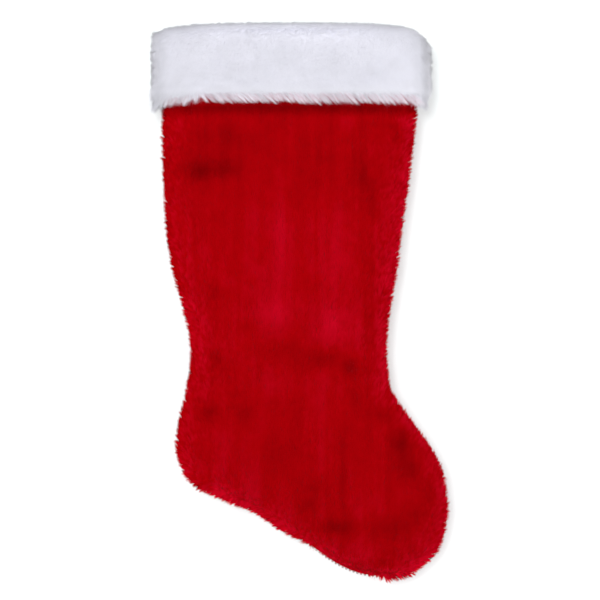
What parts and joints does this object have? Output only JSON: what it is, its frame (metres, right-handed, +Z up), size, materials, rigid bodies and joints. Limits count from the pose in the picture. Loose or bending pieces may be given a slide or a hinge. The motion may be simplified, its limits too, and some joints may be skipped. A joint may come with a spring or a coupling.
{
  "type": "hanging stocking",
  "caption": "Soft hanging stocking with a red plush leg, a white long-pile cuff turned over its mouth, a woven lining and a ribbon loop that folds up out of the mouth to hang it.",
  "frame": {"origin": "middle of the hanging loop's eye, where it lies tucked inside the mouth", "axes": "+Z up as it hangs, +X from heel to toe, front faces -Y"},
  "size_m": [0.243, 0.0596, 0.457],
  "materials": {
    "red_plush": "short plush pile",
    "white_fur": "long soft pile",
    "lining_cloth": "plain weave",
    "red_thread": "twisted thread",
    "white_thread": "twisted thread",
    "white_ribbon": "ribbed ribbon"
  },
  "bodies": {
    "stocking": {"leg_front": "red_plush", "leg_back": "red_plush", "lining_front": "lining_cloth", "lining_back": "lining_cloth", "cuff_front": "white_fur", "cuff_back": "white_fur", "side_seam_thread": "red_thread", "cuff_seam_thread": "white_thread", "mouth_seam_thread": "white_thread", "loop_ends": "white_ribbon", "loop_bartack": "white_thread"},
    "loop": {"hanging_loop": "white_ribbon"}
  },
  "joints": [
    {"name": "loop_hinge", "type": "hinge", "parent": "stocking", "child": "loop", "pos_m": [-0.0086, 0, 0.03], "axis": [0, -1, 0], "range_deg": [0, 180]}
  ]
}
